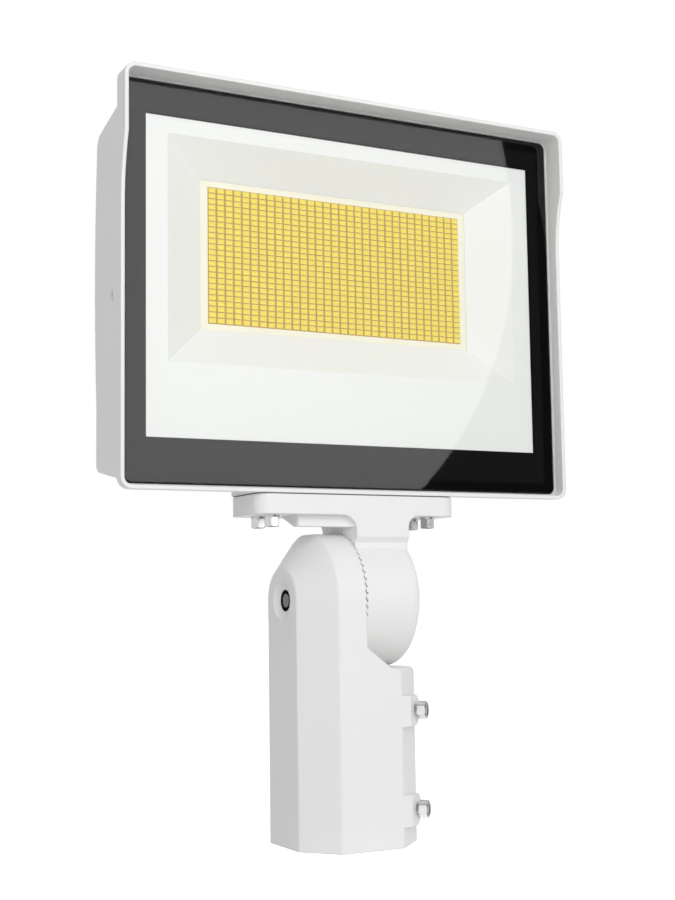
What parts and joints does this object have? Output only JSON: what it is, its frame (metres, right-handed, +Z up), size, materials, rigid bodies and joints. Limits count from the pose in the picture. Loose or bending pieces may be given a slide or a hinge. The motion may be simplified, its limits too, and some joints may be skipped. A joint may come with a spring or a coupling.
{
  "type": "flood light",
  "caption": "Rectangular outdoor LED flood light with a short visor on a tilting slip fitter for a round pole tenon.",
  "frame": {"origin": "centre of the slip fitter's open bottom end, on the axis of its pole bore", "axes": "+Z up along the pole, -Y the way the lens faces, +X to the right of someone facing the lens"},
  "size_m": [0.3054, 0.0824, 0.4536],
  "materials": {
    "white_casting": "white powder coat",
    "zinc_steel": "zinc plated",
    "seal_rubber": "matt silicone",
    "black_plastic": "moulded",
    "clear_glass": "tempered, black printed border",
    "white_sheet": "white sheet metal",
    "grey_pad": "thermal pad",
    "board_face": "metal-core board",
    "chip_resin": "phosphor resin",
    "white_plastic": "moulded",
    "driver_metal": "potted can",
    "lead_plastic": "wire sleeve"
  },
  "bodies": {
    "fitter": {"slip_fitter": "white_casting", "pivot_bolt": "zinc_steel", "pivot_washer": "zinc_steel", "pivot_spring_washer": "zinc_steel"},
    "upper_bolt": {"upper_set_bolt": "zinc_steel"},
    "lower_bolt": {"lower_set_bolt": "zinc_steel"},
    "head": {"knuckle_arm": "white_casting", "head_housing": "white_casting", "arm_bolts": "zinc_steel", "arm_lock_washers": "zinc_steel", "pad_gasket": "seal_rubber", "wire_grommet": "seal_rubber", "breather": "black_plastic", "lens_glass": "clear_glass", "lens_seal": "seal_rubber", "lens_bead": "seal_rubber", "reflector": "white_sheet", "thermal_sheet": "grey_pad", "led_board": "board_face", "led_chips": "chip_resin", "board_screws": "zinc_steel", "board_socket": "white_plastic", "driver_case": "driver_metal", "driver_screws": "zinc_steel", "driver_leads": "lead_plastic"}
  },
  "joints": [
    {"name": "head_tilt", "type": "hinge", "parent": "fitter", "child": "head", "pos_m": [0, 0, 0.146], "axis": [1, 0, 0], "range_deg": [-90, 84]},
    {"name": "upper_set_bolt_slide", "type": "slide", "parent": "fitter", "child": "upper_bolt", "axis": [-0.7071, 0.7071, 0], "range_m": [0, 0.0015]},
    {"name": "lower_set_bolt_slide", "type": "slide", "parent": "fitter", "child": "lower_bolt", "axis": [-0.7071, 0.7071, 0], "range_m": [0, 0.0015]}
  ]
}
